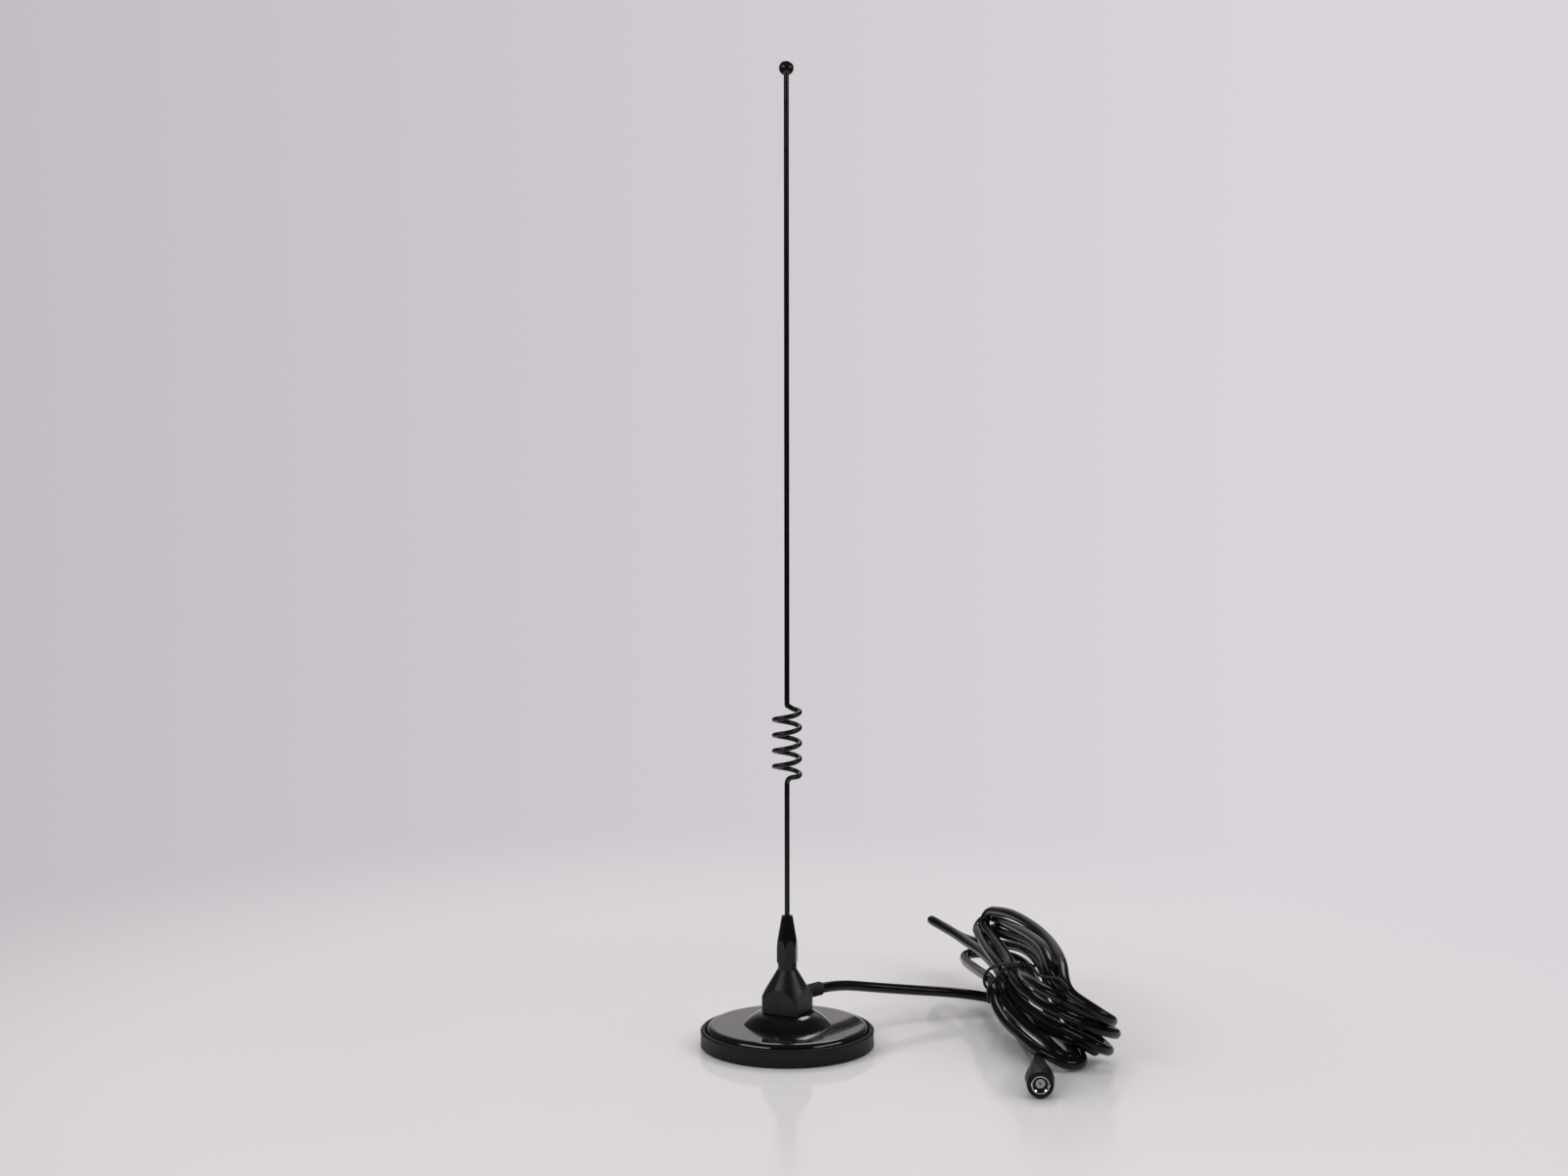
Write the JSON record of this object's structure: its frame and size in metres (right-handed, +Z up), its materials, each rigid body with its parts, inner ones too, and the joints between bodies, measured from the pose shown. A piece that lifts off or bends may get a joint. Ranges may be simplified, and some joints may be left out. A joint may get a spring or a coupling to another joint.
{
  "type": "magnetic car antenna",
  "caption": "Whip antenna with a phasing coil on a round magnet base, with a tied coaxial lead and a threaded connector.",
  "frame": {"origin": "middle of the magnet base on the surface that it stands on", "axes": "+Z up along the whip, +X towards the coiled cable, -Y towards the front"},
  "size_m": [0.1921, 0.2452, 0.4592],
  "materials": {
    "boot_rubber": "matt moulded rubber",
    "cover_paint": "gloss black paint",
    "magnet_ferrite": "ground ferrite",
    "plain_steel": "zinc-plated steel",
    "hub_plastic": "satin moulded plastic",
    "brass": "bright brass",
    "nickel_plate": "bright nickel plate",
    "whip_coat": "satin black coating",
    "tip_plastic": "black plastic",
    "relief_rubber": "moulded rubber",
    "cable_jacket": "soft black cable jacket",
    "core_plastic": "white insulator",
    "tie_plastic": "plastic-coated wire",
    "sleeve_plastic": "satin moulded plastic"
  },
  "bodies": {
    "antenna": {"rubber_boot": "boot_rubber", "base_cover": "cover_paint", "ring_magnet": "magnet_ferrite", "pole_plate": "plain_steel", "hub_housing": "hub_plastic", "hub_insert": "brass", "ground_lug": "nickel_plate", "fixing_screw": "plain_steel", "lock_washer": "plain_steel", "threaded_socket": "whip_coat", "whip_ferrule": "whip_coat", "whip_rod": "whip_coat", "tip_ball": "tip_plastic", "strain_relief": "relief_rubber", "cable_entry": "cable_jacket", "core_insulation": "core_plastic", "centre_conductor": "brass", "braid_pigtail": "nickel_plate", "coax_lead": "cable_jacket", "coax_hank": "cable_jacket", "coax_tail": "cable_jacket", "twist_tie": "tie_plastic", "connector_body": "nickel_plate", "connector_insulator": "core_plastic", "connector_pin": "brass", "retaining_ring": "brass", "crimp_ferrule": "nickel_plate"},
    "coupling": {"coupling_nut": "nickel_plate", "grip_sleeve": "sleeve_plastic"}
  },
  "joints": [
    {"name": "coupling_turn", "type": "hinge", "parent": "antenna", "child": "coupling", "pos_m": [0.1097, -0.0885, 0.0064], "axis": [0.0797, 0.9966, 0.02], "continuous": true}
  ]
}
